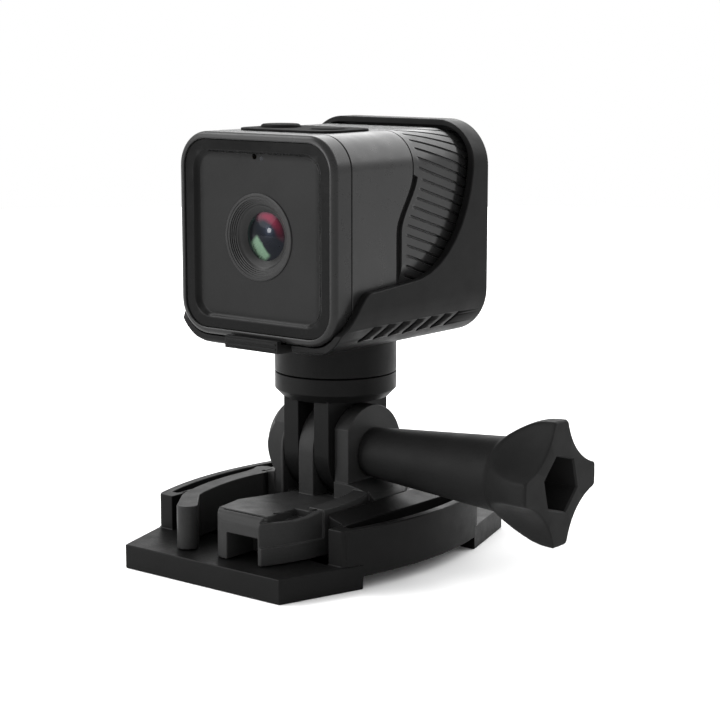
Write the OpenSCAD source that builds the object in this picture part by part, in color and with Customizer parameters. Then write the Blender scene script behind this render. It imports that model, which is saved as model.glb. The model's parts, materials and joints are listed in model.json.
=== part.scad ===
// Cube-shaped action camera in a snap-in cradle, on a swivel and tilt head that
// slides into a strap base. +Y points to the rear, +Z up, and the origin is the
// centre of the base's underside.

/* [Strap base] */
// Overall length of the base
base_len = 56.4; // [54:0.2:60]
// Half width of the base at its two ends
base_end_half = 15.7; // [14:0.1:17]
// Half width of the feet where the strap channel starts
foot_half = 20.1; // [19.5:0.1:20.6]
// Thickness of the two feet
foot_h = 3.77; // [3.4:0.01:4]
// Half length of the strap channel between the feet
channel_half = 14.2; // [13:0.1:15]
// Height of the strap channel
channel_h = 1.95; // [1.6:0.05:2.2]
// Half width over the two curved rails
rail_half = 22; // [21.6:0.1:23]
// Plan radius of the rails' outer walls
rail_r = 53; // [50:1:60]
// Height of the rails' outer walls
rail_top = 9.25; // [9:0.05:9.4]

/* [Clamp] */
// Height of the tilt axis above the base's underside
tilt_z = 16.06; // [16:0.02:16.2]
// Distance of the tilt axis behind the base's centre
tilt_y = 3.8; // [3:0.1:4.4]
// Outer radius of the clamp's ears
ear_r = 7.5; // [7.2:0.1:7.7]
// Thickness of one finger
finger_t = 3; // [2.9:0.05:3]
// Radius of the clamp bolt
bolt_r = 2.5; // [2.3:0.05:2.5]

/* [Thumb screw] */
// Distance of the knob's end face from the centre plane
knob_end = 42.9; // [41:0.1:46]
// Radius over the knob's four lobes
lobe_r = 9.6; // [8.6:0.1:10]
// Width across the flats of the hexagonal socket
socket_af = 7.8; // [7.6:0.1:8.2]

/* [Swivel] */
// Radius of the two swivel discs
disc_r = 9.7; // [9:0.1:10.5]
// Height of the parting line between the discs
disc_seam = 28.5; // [28:0.1:29]

/* [Camera] */
// Width and height of the camera
cam_size = 31.2; // [30.8:0.1:31.4]
// Corner radius of the camera
cam_r = 5.4; // [5:0.1:6]
// Height of the lens axis above the base's underside
cam_z = 51.1; // [51:0.05:51.2]
// Wall thickness of the camera's shells
wall = 1.3; // [1.1:0.05:1.4]
// Radius of the lens's trim ring
lens_r = 6.65; // [6:0.05:7]
// Travel of the two buttons
button_travel = 0.5; // [0.3:0.05:0.55]

/* [Hidden] */
$fn = 96;

eps = 0.01;
big = 120;                  // longer than any part, for cutters
slide_gap = 0.2;            // gap round the buckle in its rails

// rails and buckle
rail_front = -17.5;         // rails' front end
rail_back = 15.5;           // rails' rear end
rail_skin = 1.4;            // outer wall's thickness
lip_end = -14.5;            // lips' front end
lip_in = 13.2;              // half width between the rails' lips
guide_in = 16;              // half width of the channel under the lips
guide_out = 17;             // outer face of the channel's walls
lip_z = 7.6;                // underside of the lips
lip_top_in = 10.3;          // lip's height at its inner edge
groove_z = 4.8;             // floor of the slots in the rails
buckle_z = foot_h + slide_gap;
buckle_back = rail_back - 2 * slide_gap;
neck_half = lip_in - slide_gap;
shoulder_z = 11.9;          // top of the shoulders beside the ears
shoulder_out_z = 11.2;      // shoulder's height at its outer edge
shoulder_front = -2.5;
arm_r = 30.2;               // plan radius of the buckle's curved sides
arm_y = -11;                // where the curved sides are widest
tongue_front = -25.1;
tongue_left = -3.3;
tongue_z = 11.3;            // tongue's height at its front edge
bead_z = 11;                // top of the rounded bead along the tongue's front
bead_r = 1.5;
bead_back = tongue_front + bead_r;
line_w = 0.5;               // sunken line behind the bead
ridge_z = 10.4;             // front height of the ridge beside the tongue's top
tier_z = 6.7;               // the tongue's right side is drawn in by tier_in above this
tier_in = 0.35;
deck_z = 9.2;               // deck's height in front of the middle finger
lever_w = 3;
lever_pivot = [-11.2, -1.2];
lever_pivot_r = 1.4;

// clamp
bore_r = bolt_r + 0.08;
finger_half = finger_t / 2;
fork_in = finger_half + 0.1;
fork_out = fork_in + finger_t;
ear_in = fork_out + 0.1;
ear_out = ear_in + 2.8;
boss_out = -9;              // outer face of the nut boss
nut_af = 8;
nut_in = boss_out + 3.1;
fork_r = ear_r - 0.1;
slot_r = ear_r + 0.25;
ear_front = tilt_y - 6.1;

// thumb screw
knob_in = ear_out + 0.15;
shank_r0 = 3.95;
flare_x = 33;
shank_taper = 0.0735;
shank_r1 = shank_r0 + shank_taper * (flare_x - knob_in);
flare_len = knob_end - flare_x;
lobe_tip_half = 1.75;
lobe_root = 6.4;
socket_depth = 8;
head_h = 3.6;

// swivel
disc_gap = 0.2;
fork_top = disc_seam - disc_gap / 2;
fork_under = 24.5;
disc_chamfer = 1.3;
pan_bottom = disc_seam + disc_gap / 2;
pan_top = 33.9;
pan_screw_r = 1.5;
pan_head_r = 2.7;
insert_z = 25.4;            // floor of the threaded insert's bore
insert_r = 2.6;
ring_in = 3.2;
ring_out = 8;
ring_top = 29.2;

// cradle
cradle_half = 17.05;
cradle_bottom = pan_top;
cradle_top = 67.9;
cradle_r = 7.3;
cradle_gap = 0.15;
cradle_front = -14.4;
frame_front = 17.4;         // front plane of the rear frame
cradle_back = 21.3;
wing_low = 36.2;            // lowest height of the wings' front edge
wing_high = 44.1;           // wing's height along its middle
wing_arc = [1.3, 63];       // centre of the sweep up to the rear frame
wing_arc_y = 16.1;
grip_pitch = 3.58;          // spacing of the slanted grooves along the lower corners
grip_count = 7;
grip_first = -6.6;
grip_lean = 50;             // lean of the grooves from upright
grip_top = 38.05;
grip_len = 3.2;             // length of one groove
grip_w = 0.7;
grip_in = 10.2;             // the grooves' inner ends on the cradle's underside
grip_depth = 0.5;
latch_half = 5.3;
latch_slot = 1;
latch_root = -8.4;
latch_z = 34.65;

// camera
cam_half = cam_size / 2;
cam_in = cam_size - 2 * wall;
cam_in_r = cam_r - wall;
cam_front = -15.25;
cam_back = 20;
bezel_back = -11.35;
shell_front = -11.2;
rim = 1.1;
panel_size = cam_size - 2 * rim - 0.2;
panel_r = cam_r - rim - 0.1;
panel_front = cam_front + 0.3;
panel_back = -13.4;
recess_w = 23.4;
recess_h = 24.5;
recess_d = 0.6;
seam_top_y = 3.4;           // the side seam's place at the top
seam_low_y = -0.6;          // and low on the sides
seam_z = [51.5, 60.5];        // the height over which it swings
seam_gap = 1.3;
seam_hair = 0.2;
button_x = 4.8;
button_y = -3.6;
record_r = 3.1;
power_r = 2.8;
keypad_top = 67.05;
keypad_seat = 66.4;         // floor of the keypad's recess in the shell
lens_front = -14.55;
glass_front = -13.55;
glass_r = 3.8;
middle_r = 2.86;
rear_r = 2.26;
barrel_r = 4.7;
barrel_back = -4.2;
baffle_r = 3.95;            // bore behind the lens ring's last step
cover_half = 14.15;
cover_front = 18.4;
cover_back = 20.7;
door_half = 10.4;
door_hinge = [-11.2, 19.95];
door_low = 41.5;
door_high = 60.7;
door_front = 19.4;
knuckle_low = 44;
knuckle_high = 58;
pin_r = 0.5;
screw_off = 11.9;           // case screws' distance from the camera's axis
screw_r = 0.8;
head_y = 19.9;              // underside of the screws' heads
boss_r = 1.9;

// inside the camera
mic = [-0.7, 12.1];         // microphone's place from the lens axis
mic_r = 0.45;
light = [0.7, 11.8];        // status light's place from the lens axis
light_r = 0.36;
board_t = 0.9;
sensor_board_y = -2.48;
main_board_y = 1;
main_board_z = 49.2;
port_board_y = 15.8;
port_face = port_board_y + board_t + 0.02;
socket_z = 47.6;            // charging socket's height
card_z = 57;                // memory card's underside
battery_z = 47.4;
battery_size = [21.4, 10, 15.4];
frame_half = 13.4;          // chassis's half width
button_board_z = 60.3;
switch_top = 63.3;

function smooth(t) = let(s = min(max(t, 0), 1)) s * s * (3 - 2 * s);
function seam_y(z) = seam_low_y + (seam_top_y - seam_low_y)
    * smooth((z - seam_z[0]) / (seam_z[1] - seam_z[0]));
function tongue_top(y) = deck_z + (tongue_z - deck_z) * (ear_front - y) / (ear_front - tongue_front);

// ---- shared shapes ----

// rounded rectangle with true arcs at its corners
module rsq(w, h, r) {
    square([w - 2 * r, h], center = true);
    square([w, h - 2 * r], center = true);
    for (x = [-1, 1], y = [-1, 1])
        translate([x * (w / 2 - r), y * (h / 2 - r)]) circle(r);
}

// stands a drawing in X and Z up, from y0 back to y1
module along_y(y0, y1) {
    translate([0, y1, 0]) rotate([90, 0, 0]) linear_extrude(y1 - y0) children();
}

// lays a drawing in Y and Z along X, from x0 to x1
module along_x(x0, x1) {
    translate([x0, 0, 0]) rotate([90, 0, 90]) linear_extrude(x1 - x0) children();
}

// rounded prism round the camera's axis
module prism(w, h, r, y0, y1, z = cam_z) {
    along_y(y0, y1) translate([0, z]) rsq(w, h, r);
}

module tube(w, r, y0, y1, t) {
    along_y(y0, y1) translate([0, cam_z]) difference() {
        rsq(w, w, r);
        rsq(w - 2 * t, w - 2 * t, r - t);
    }
}

module rod_y(r, y0, y1, x = 0, z = cam_z) {
    translate([x, y0, z]) rotate([-90, 0, 0]) cylinder(r = r, h = y1 - y0);
}

module rod_x(r, x0, x1, r2 = -1) {
    translate([x0, tilt_y, tilt_z]) rotate([0, 90, 0])
        cylinder(r1 = r, r2 = r2 < 0 ? r : r2, h = x1 - x0);
}

module hex_x(af, x0, x1, turn = 0) {
    translate([x0, tilt_y, tilt_z]) rotate([0, 90, 0]) rotate([0, 0, turn])
        cylinder(r = af / sqrt(3), h = x1 - x0, $fn = 6);
}

module block(x0, x1, y0, y1, z0, z1) {
    translate([x0, y0, z0]) cube([x1 - x0, y1 - y0, z1 - z0]);
}

module both_sides() {
    children();
    mirror([1, 0, 0]) children();
}

// turns a profile of radius and depth about the lens axis
module lathe_y(y) {
    translate([0, y, cam_z]) rotate([-90, 0, 0]) rotate_extrude() children();
}

// ---- strap base ----

module rail_plan() {
    intersection() {
        translate([rail_half - rail_r, 0]) circle(rail_r, $fn = 360);
        translate([rail_r - rail_half, 0]) circle(rail_r, $fn = 360);
        translate([-big / 2, rail_front]) square([big, rail_back - rail_front]);
    }
}

module end_corner(x, y, r) {
    translate([x - r, y]) difference() {
        translate([0, -eps]) square([r + 1, r + eps]);
        translate([0, r]) circle(r);
    }
}

module base_outline() {
    half = base_len / 2;
    polygon([[-base_end_half, -half], [base_end_half, -half], [foot_half, -channel_half],
             [foot_half, channel_half], [base_end_half, half], [-base_end_half, half],
             [-foot_half, channel_half], [-foot_half, -channel_half]]);
}

module strap_base() {
    end_x = rail_half - rail_r + sqrt(pow(rail_r, 2) - pow(rail_front, 2));
    color("#242526") difference() {
        union() {
            linear_extrude(foot_h) base_outline();
            linear_extrude(rail_top) difference() {
                rail_plan();
                square([2 * guide_out - eps, big], center = true);
                both_sides() end_corner(end_x, rail_front, 0.8);
            }
            linear_extrude(foot_h) rail_plan();
            both_sides() {
                along_y(lip_end, rail_back)
                    polygon([[lip_in, lip_z], [lip_in, lip_top_in], [guide_out, rail_top],
                             [guide_out, lip_z]]);
                block(guide_in, guide_out, rail_front, rail_back, foot_h - 1, rail_top);
            }
            block(-lip_in, lip_in, rail_back, rail_back + 1.5, foot_h - 1, lip_z);
        }
        block(-big, big, -channel_half, channel_half, -1, channel_h);
        both_sides() translate([0, 0, groove_z]) linear_extrude(big) intersection() {
            translate([rail_half - rail_r, 0]) circle(rail_r - rail_skin, $fn = 360);
            translate([guide_out, rail_front + 2.4]) square([9, rail_back - rail_front - 4.4]);
        }
        both_sides() translate([0, 0, lip_z - 1]) linear_extrude(big)
            mirror([1, 0]) translate([-2 * lip_in, 0]) end_corner(lip_in, lip_end, 1);
    }
}

// ---- buckle ----

module arm_plan(r) {
    translate([neck_half - arm_r, arm_y]) circle(r, $fn = 240);
}

// plan of the buckle in front of its shoulders
module tongue_plan() {
    intersection() {
        arm_plan(arm_r);
        polygon([[tongue_left, shoulder_front + 1], [tongue_left, -16], [-0.5, -23.3],
                 [0.4, -24.6], [1.6, tongue_front], [neck_half, tongue_front],
                 [neck_half, shoulder_front + 1]]);
    }
}

// plan of the lowered strip on the right of the tongue's top
module beside_top() {
    polygon([[9, tongue_front - 1], [9, -22.5], [7, lip_end], [neck_half + 1, lip_end],
             [neck_half + 1, tongue_front - 1]]);
}

module finger(x0, x1, front) {
    intersection() {
        union() {
            rod_x(ear_r, x0, x1);
            block(x0, x1, tilt_y - ear_r, tilt_y + ear_r, buckle_z, tilt_z);
        }
        block(x0 - 1, x1 + 1, front, big, 0, big);
    }
}

// shoulder under one ear, sloping down to its outer edge
module shoulder() {
    intersection() {
        along_y(shoulder_front, tilt_y + ear_r)
            polygon([[ear_in, buckle_z], [neck_half, buckle_z], [neck_half, lip_top_in],
                     [neck_half - 1.3, shoulder_out_z], [ear_out, shoulder_z],
                     [ear_in, shoulder_z]]);
        linear_extrude(big) polygon([[0, shoulder_front], [neck_half, shoulder_front],
                                     [neck_half, 5], [9, tilt_y + ear_r], [0, tilt_y + ear_r]]);
    }
}

module buckle_body() {
    bead = [for (a = [0 : 15 : 90])
        [tongue_front + bead_r * (1 - cos(a)), bead_z - bead_r * (1 - sin(a))]];
    color("#2a2b2c") difference() {
        union() {
            block(-guide_in + slide_gap, guide_in - slide_gap, -13, buckle_back,
                  buckle_z, lip_z - slide_gap);
            block(-neck_half, neck_half, shoulder_front, buckle_back, buckle_z, deck_z);
            both_sides() shoulder();
            finger(ear_in, ear_out, ear_front);
            finger(-ear_out, -ear_in, tilt_y - ear_r);
            finger(-finger_half, finger_half, tilt_y - ear_r);
            rod_x(ear_r - 1.2, boss_out, -ear_out + eps, ear_r - 0.2);
            intersection() {
                linear_extrude(big) tongue_plan();
                along_x(-big / 2, big / 2) polygon(concat(
                    [[tongue_front, buckle_z]], bead,
                    [[bead_back + line_w, bead_z],
                     [bead_back + line_w, tongue_top(bead_back + line_w)],
                     [shoulder_front + 1, tongue_top(shoulder_front)],
                     [shoulder_front + 1, buckle_z]]));
            }
            intersection() {
                translate([0, 0, buckle_z]) linear_extrude(big) difference() {
                    arm_plan(arm_r);
                    arm_plan(arm_r - lever_w);
                    translate([-big, -big]) square([big, 2 * big]);
                }
                along_x(0, big / 2) polygon([[tongue_front + 1, buckle_z],
                    [tongue_front + 1, tongue_z - 0.4], [lip_end, shoulder_out_z - 0.2],
                    [shoulder_front, shoulder_out_z], [shoulder_front, buckle_z]]);
            }
        }
        // clearance slots for the fork's fingers
        for (side = [-1, 1])
            rod_x(slot_r, side < 0 ? -ear_in : finger_half, side < 0 ? -finger_half : ear_in);
        rod_x(bore_r, -big, big);
        hex_x(nut_af + 0.1, boss_out - 1, nut_in, 30);
        // step down to the ridge beside the tongue's top, and the hollow between them
        intersection() {
            linear_extrude(big) beside_top();
            union() {
                along_x(0, big) polygon([[tongue_front - 1, ridge_z], [-19.5, ridge_z - 0.3],
                    [-17, ridge_z - 0.1], [lip_end, ridge_z + 0.5], [lip_end, big],
                    [tongue_front - 1, big]]);
                translate([0, 0, ridge_z - 1.2]) linear_extrude(big) arm_plan(arm_r - 1.3);
            }
        }
        // opening under the front edge, and the line behind it
        block(2.7, 8.8, tongue_front - 1, tongue_front + 6, 0, 8.1);
        block(0.6, 9.5, bead_back, bead_back + line_w, bead_z - 0.4, big);
        // upper tier of the right side
        translate([0, 0, tier_z]) linear_extrude(big) difference() {
            translate([0, tongue_front - 1]) square([big, lip_end - tongue_front + 1]);
            arm_plan(arm_r - tier_in);
        }
        // the lever's bay in the left of the sled
        linear_extrude(big) intersection() {
            mirror([1, 0]) difference() {
                arm_plan(arm_r + 1);
                arm_plan(arm_r - lever_w - 3.6);
            }
            translate([-neck_half - 0.2, -30]) square([neck_half, 30 + shoulder_front - 0.01]);
        }
        translate([lever_pivot[0], lever_pivot[1], 0])
            cylinder(r = lever_pivot_r + 0.08, h = big);
        linear_extrude(big) translate([lever_pivot[0] - 1.1, lever_pivot[1] - 3])
            square([2.35, 2.1]);
    }
}

// sprung arm on the left, with a finger post at its front end
module release_lever() {
    post = [-6.5, -23.9];
    post_r = 1.6;
    neck = 0.9;
    post_z = 10.7;
    bend = [-10.1, -19.4];
    color("#303132") intersection() {
        translate([0, 0, buckle_z]) linear_extrude(big) {
            intersection() {
                mirror([1, 0]) difference() {
                    arm_plan(arm_r - 0.1);
                    arm_plan(arm_r - lever_w + 0.1);
                }
                translate([-neck_half, bend[1]])
                    square([neck_half, shoulder_front - 0.3 - bend[1]]);
            }
            hull() {
                translate(post) circle(post_r);
                translate(bend) circle(lever_w / 2 - 0.1);
            }
            translate(lever_pivot) circle(lever_pivot_r);
            translate([lever_pivot[0] - neck, shoulder_front - 1.6]) square([2 * neck, 2]);
        }
        along_x(-big / 2, big / 2) polygon([[-27, 0], [-27, post_z],
            [-21, post_z], [shoulder_front, shoulder_out_z + 0.4],
            [1, shoulder_out_z + 0.4], [1, 0]]);
    }
}

module clamp_nut() {
    color("#8d8f92") difference() {
        hex_x(nut_af, boss_out + 0.1, nut_in - 0.02, 30);
        rod_x(bolt_r + 0.05, -big, big);
    }
}

// ---- thumb screw ----

module lobe_plan() {
    turn = 45 - asin(lobe_tip_half / lobe_r);
    tip = [lobe_r * cos(turn), lobe_r * sin(turn)];
    scallop = (pow(tip[0], 2) + pow(tip[1], 2) - pow(lobe_root, 2)) / (2 * (tip[0] - lobe_root));
    difference() {
        circle(lobe_r);
        for (a = [45 : 90 : 315]) rotate(a) translate([scallop, 0]) circle(scallop - lobe_root);
    }
}

// radius of the flare at a share of its length
function flare(t) = shank_r1 + (lobe_r - shank_r1) * (1 - pow(1 - t, 1.7));

module thumb_knob() {
    color("#2b2c2d") difference() {
        union() {
            rod_x(shank_r0, knob_in, flare_x + eps, shank_r1);
            intersection() {
                translate([flare_x, tilt_y, tilt_z]) rotate([0, 90, 0]) rotate_extrude()
                    polygon(concat([[0, 0]], [for (i = [0 : 8]) [flare(i / 8), i / 8 * flare_len]],
                                   [[0, flare_len]]));
                translate([flare_x - 1, tilt_y, tilt_z]) rotate([0, 90, 0])
                    linear_extrude(flare_len + 1) lobe_plan();
            }
        }
        rod_x(bolt_r + 0.02, -big, big);
        hex_x(socket_af, knob_end - socket_depth - head_h, knob_end + 1, 15);
    }
}

module clamp_bolt() {
    head_x = knob_end - socket_depth;
    color("#777a7d") {
        rod_x(bolt_r, boss_out + 0.1, head_x - head_h + eps);
        difference() {
            hex_x(socket_af - 0.06, head_x - head_h, head_x, 15);
            rod_x(1.2, head_x - 0.4, head_x + 1, 2.6);
        }
    }
}

// ---- tilt and pan ----

module tilt_fork() {
    color("#222324") difference() {
        union() {
            translate([0, tilt_y, fork_under])
                cylinder(r1 = disc_r - disc_chamfer, r2 = disc_r, h = disc_chamfer);
            translate([0, tilt_y, fork_under + disc_chamfer])
                cylinder(r = disc_r, h = fork_top - fork_under - disc_chamfer);
            both_sides() {
                rod_x(fork_r, fork_in, fork_out);
                block(fork_in, fork_out, tilt_y - fork_r, tilt_y + fork_r,
                      tilt_z, fork_under + 0.4);
            }
        }
        rod_x(bore_r, -big, big);
        translate([0, tilt_y, insert_z]) cylinder(r = insert_r, h = big);
    }
}

module pan_insert() {
    color("#b08d4a") translate([0, tilt_y, insert_z]) difference() {
        cylinder(r = insert_r, h = 2.6);
        translate([0, 0, -1]) cylinder(r = pan_screw_r, h = big);
    }
}

module pan_screw() {
    color("#9a9da0") difference() {
        translate([0, tilt_y, 0]) {
            translate([0, 0, insert_z + 0.1])
                cylinder(r = pan_screw_r, h = pan_top - insert_z);
            translate([0, 0, pan_top + 0.05]) cylinder(r = pan_head_r, h = 1.15);
        }
        for (a = [0, 90]) translate([0, tilt_y, pan_top + 0.9]) rotate(a)
            translate([-1.6, -0.3, 0]) cube([3.2, 0.6, 2]);
    }
}

module friction_ring() {
    color("#191919") translate([0, tilt_y, fork_top]) difference() {
        cylinder(r = ring_out, h = ring_top - fork_top);
        translate([0, 0, -1]) cylinder(r = ring_in, h = big);
    }
}

module pan_disc() {
    color("#232425") translate([0, tilt_y, 0]) difference() {
        translate([0, 0, pan_bottom]) cylinder(r = disc_r, h = pan_top - pan_bottom);
        translate([0, 0, pan_bottom - 1]) difference() {
            cylinder(r = ring_out + 0.06, h = ring_top - pan_bottom + 1.06);
            translate([0, 0, -1]) cylinder(r = ring_in - 0.06, h = big);
        }
        cylinder(r = pan_screw_r + 0.08, h = big);
    }
}

// ---- cradle ----

// cradle's outline, drawn in by gap
module cradle_outline(gap) {
    translate([0, (cradle_top + cradle_bottom) / 2])
        rsq(2 * (cradle_half - gap), cradle_top - cradle_bottom - 2 * gap, cradle_r - gap);
}

module cradle_ring(y0, y1, inner, r) {
    along_y(y0, y1) difference() {
        cradle_outline(0);
        translate([0, cam_z]) rsq(inner, inner, r);
    }
}

// side view of the tray, its wings and the sweep up to the rear frame
module cradle_side() {
    sweep_z = wing_arc[1] - wing_high;
    front = [for (i = [0 : 8]) let(y = cradle_front - 0.01 + i * 0.95)
        [y, wing_low + (wing_high - 0.6 - wing_low) * pow(smooth((y + 18) / 9.8), 1.5)]];
    sweep = [for (a = [0 : 9 : 81])
        [wing_arc[0] + wing_arc_y * sin(a), wing_arc[1] - sweep_z * cos(a)]];
    polygon(concat([[cradle_front + 1.2, cradle_bottom - eps],
                    [cradle_front + 0.35, cradle_bottom + 0.3],
                    [cradle_front, cradle_bottom + 0.9]], front, sweep,
                   [[frame_front, wing_arc[1]], [frame_front, cradle_top + 1],
                    [cradle_back, cradle_top + 1], [cradle_back, cradle_bottom - 1]]));
}

// slanted grooves round the cradle's two lower corners
module grips() {
    intersection() {
        for (i = [0 : grip_count - 1])
            translate([0, grip_first + i * grip_pitch, grip_top]) rotate([-grip_lean, 0, 0])
                hull() for (z = [-grip_w / 2, grip_w / 2 - grip_len])
                    translate([0, 0, z]) rotate([0, 90, 0])
                        cylinder(d = grip_w, h = big, center = true, $fn = 20);
        both_sides() block(grip_in, big, -big, big, 0, big);
        along_y(-big, big) difference() {
            square([big, 2 * big], center = true);
            cradle_outline(grip_depth);
        }
    }
}

module cradle() {
    lip_front = cam_back + 0.1;
    color("#262728") difference() {
        union() {
            intersection() {
                cradle_ring(cradle_front, lip_front, cam_size + 2 * cradle_gap,
                            cam_r - cradle_gap);
                along_x(-big / 2, big / 2) cradle_side();
            }
            cradle_ring(lip_front - eps, cradle_back, cam_size - 2.4, cam_r - 0.6);
        }
        // bay for the latch, with a slot down each side of it
        block(-latch_half - latch_slot, latch_half + latch_slot, cradle_front - 1,
              latch_root + 1.1, cradle_bottom - 1, cam_z - cam_half);
        translate([0, tilt_y, 0]) cylinder(r = pan_head_r + 0.2, h = 40);
        grips();
    }
}

module latch_tab() {
    hook_back = cam_front - 0.15;
    color("#2d2e2f") {
        block(-latch_half, latch_half, hook_back - 0.2, latch_root, 34, 35.3);
        translate([-latch_half - latch_slot + 0.1, latch_root, latch_z]) rotate([0, 90, 0])
            cylinder(r = 0.65, h = 2 * (latch_half + latch_slot - 0.1));
        block(-latch_half, latch_half, hook_back - 0.95, hook_back, 34.1, 36);
        for (z = [34.6, 35.3])
            block(-latch_half + 0.3, latch_half - 0.3, hook_back - 1.15, hook_back, z, z + 0.3);
    }
}

// ---- camera: front ----

module front_bezel() {
    edge = 0.9;
    color("#3a3b3d") difference() {
        hull() {
            for (a = [0 : 22.5 : 90])
                prism(cam_size - 2 * edge * (1 - sin(a)), cam_size - 2 * edge * (1 - sin(a)),
                      cam_r - edge * (1 - sin(a)), cam_front + edge * (1 - cos(a)),
                      cam_front + edge * (1 - cos(a)) + eps);
            prism(cam_size, cam_size, cam_r, bezel_back - 1, bezel_back);
        }
        prism(cam_size - 2 * rim, cam_size - 2 * rim, cam_r - rim, cam_front - 1, panel_back);
        prism(26, 26, 4, cam_front, bezel_back + 1);
        prism(cam_in, cam_in, cam_in_r, panel_back + 1, bezel_back + 1);
    }
}

module front_panel() {
    slope = 1.2;
    color("#38393b") difference() {
        prism(panel_size, panel_size, panel_r, panel_front, panel_back - 0.02);
        hull() {
            prism(recess_w, recess_h, 2.6, panel_front + recess_d - eps, panel_front + recess_d);
            prism(recess_w + slope, recess_h + slope, 2.6 + slope / 2,
                  panel_front - eps, panel_front);
        }
        rod_y(lens_r - 0.35, cam_front, panel_back + 1);
        rod_y(mic_r, cam_front, panel_back + 1, mic[0], cam_z + mic[1]);
        rod_y(light_r, cam_front, panel_back + 1, light[0], cam_z + light[1]);
    }
}

// trim ring with stepped baffles down to the glass
module lens_ring() {
    steps = [[5.9, 0.1], [5.35, 0.4], [4.85, 0.7], [4.35, 1]];
    proud = panel_front + recess_d - lens_front - eps;
    color("#323335") lathe_y(lens_front) polygon(concat(
        [[lens_r, 0.1], [lens_r - 0.1, 0], [steps[0][0], 0]],
        [for (i = [0 : 3], k = [0, 1])
            [k == 0 ? steps[i][0] : (i < 3 ? steps[i + 1][0] : baffle_r), steps[i][1]]],
        [[baffle_r, 1.15], [lens_r - 0.4, 1.15], [lens_r - 0.4, proud], [lens_r, proud]]));
}

module lens_barrel() {
    color("#1d1e20") difference() {
        rod_y(barrel_r, panel_back + 0.02, barrel_back);
        rod_y(glass_r + 0.03, cam_front, -11.4);
        rod_y(middle_r + 0.04, -12, -8);
        rod_y(rear_r + 0.04, -9, 0);
    }
}

// a glass disc with a domed front face
module element(r, y0, y1, dome) {
    ball = (pow(r, 2) + pow(dome, 2)) / (2 * dome);
    color("#6a7f96") intersection() {
        rod_y(r, y0, y1);
        translate([0, y0 + ball, cam_z]) sphere(ball);
    }
}

module front_element() { element(glass_r, glass_front, -11.45, 0.9); }
module middle_element() { element(middle_r, -10.6, -8.6, 0.8); }
module rear_element() { element(rear_r, -7.4, -5.6, 0.5); }

module lens_holder() {
    color("#202122") difference() {
        union() {
            rod_y(barrel_r + 1.3, -10, -5);
            prism(14, 14, 1.5, -6, sensor_board_y - 0.02);
        }
        rod_y(barrel_r + 0.02, -11, barrel_back + 0.1);
        prism(9.6, 9.6, 0.5, barrel_back, 0);
    }
}

module sensor_board() {
    color("#1e5a38") difference() {
        prism(23, 18, 1, sensor_board_y, sensor_board_y + 0.98);
        for (x = [-10, 10], z = [-7.4, 7.4]) rod_y(screw_r, -3, 0, x, cam_z + z);
    }
}

module image_sensor() {
    color("#4a4458") prism(8, 6.6, 0.3, sensor_board_y - 0.82, sensor_board_y - 0.02);
}

module microphone() {
    color("#b9a56a") rod_y(2 * mic_r - 0.1, panel_back, panel_back + 1.2, mic[0], cam_z + mic[1]);
}

module status_light() {
    color("#c9d4cc") rod_y(light_r - 0.02, panel_front + recess_d, panel_back - 0.1,
                           light[0], cam_z + light[1]);
}

module front_gasket() {
    color("#151515") tube(cam_size - 0.7, cam_r - 0.35, bezel_back, shell_front, 0.9);
}

// ---- camera: shells ----

// everything in front of the side seam, moved back by shift
module before_seam(shift) {
    along_x(-big / 2, big / 2) polygon(concat(
        [[-big, 0], [seam_low_y + shift, 0]],
        [for (i = [0 : 12]) let(z = seam_z[0] + i / 12 * (seam_z[1] - seam_z[0]))
            [seam_y(z) + shift, z]],
        [[seam_top_y + shift, big], [-big, big]]));
}

module button_holes(gap) {
    translate([-button_x, button_y, 60]) cylinder(r = record_r + gap, h = 12);
    translate([button_x, button_y, 60]) cylinder(r = power_r + gap, h = 12);
}

module keypad_plan(gap) {
    translate([0, button_y]) rsq(18.8 + gap, 12.4 + gap, 3.4);
}

module mid_shell() {
    color("#48494b") difference() {
        intersection() {
            tube(cam_size, cam_r, shell_front, seam_top_y + 0.1, wall);
            before_seam(0);
        }
        translate([0, 0, keypad_seat]) linear_extrude(big) keypad_plan(0.1);
        button_holes(0.1);
    }
}

module side_gasket() {
    color("#131314") difference() {
        intersection() {
            tube(cam_size - 1.2, cam_r - 0.6, seam_low_y - 1, seam_top_y + 3, wall - 0.6);
            before_seam(seam_gap - 0.02);
            translate([-big / 2, -big / 2, 0]) cube([big, big, seam_z[1] - 0.3]);
        }
        before_seam(0.02);
    }
}

module screw_places() {
    for (x = [-screw_off, screw_off], z = [-screw_off, screw_off])
        translate([x, 0, cam_z + z]) children();
}

module ribbed_shell() {
    color("#45464a") difference() {
        union() {
            tube(cam_size, cam_r, seam_low_y - 1, cam_back, wall);
            intersection() {
                screw_places() translate([0, 9, 0]) rotate([-90, 0, 0])
                    cylinder(r = boss_r, h = 8.8);
                prism(cam_in + 1, cam_in + 1, cam_in_r + 0.5, 8, 18);
            }
        }
        difference() {
            before_seam(seam_gap);
            block(-big, big, -big, big, seam_z[1] - 0.3, big);
        }
        before_seam(seam_hair);
        screw_places() translate([0, 8.5, 0]) rotate([-90, 0, 0]) cylinder(r = screw_r, h = 12);
    }
}

module rear_gasket() {
    color("#151515") tube(cam_in - 0.1, cam_in_r, cover_front - 0.55, cover_front - 0.05, 0.7);
}

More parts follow.
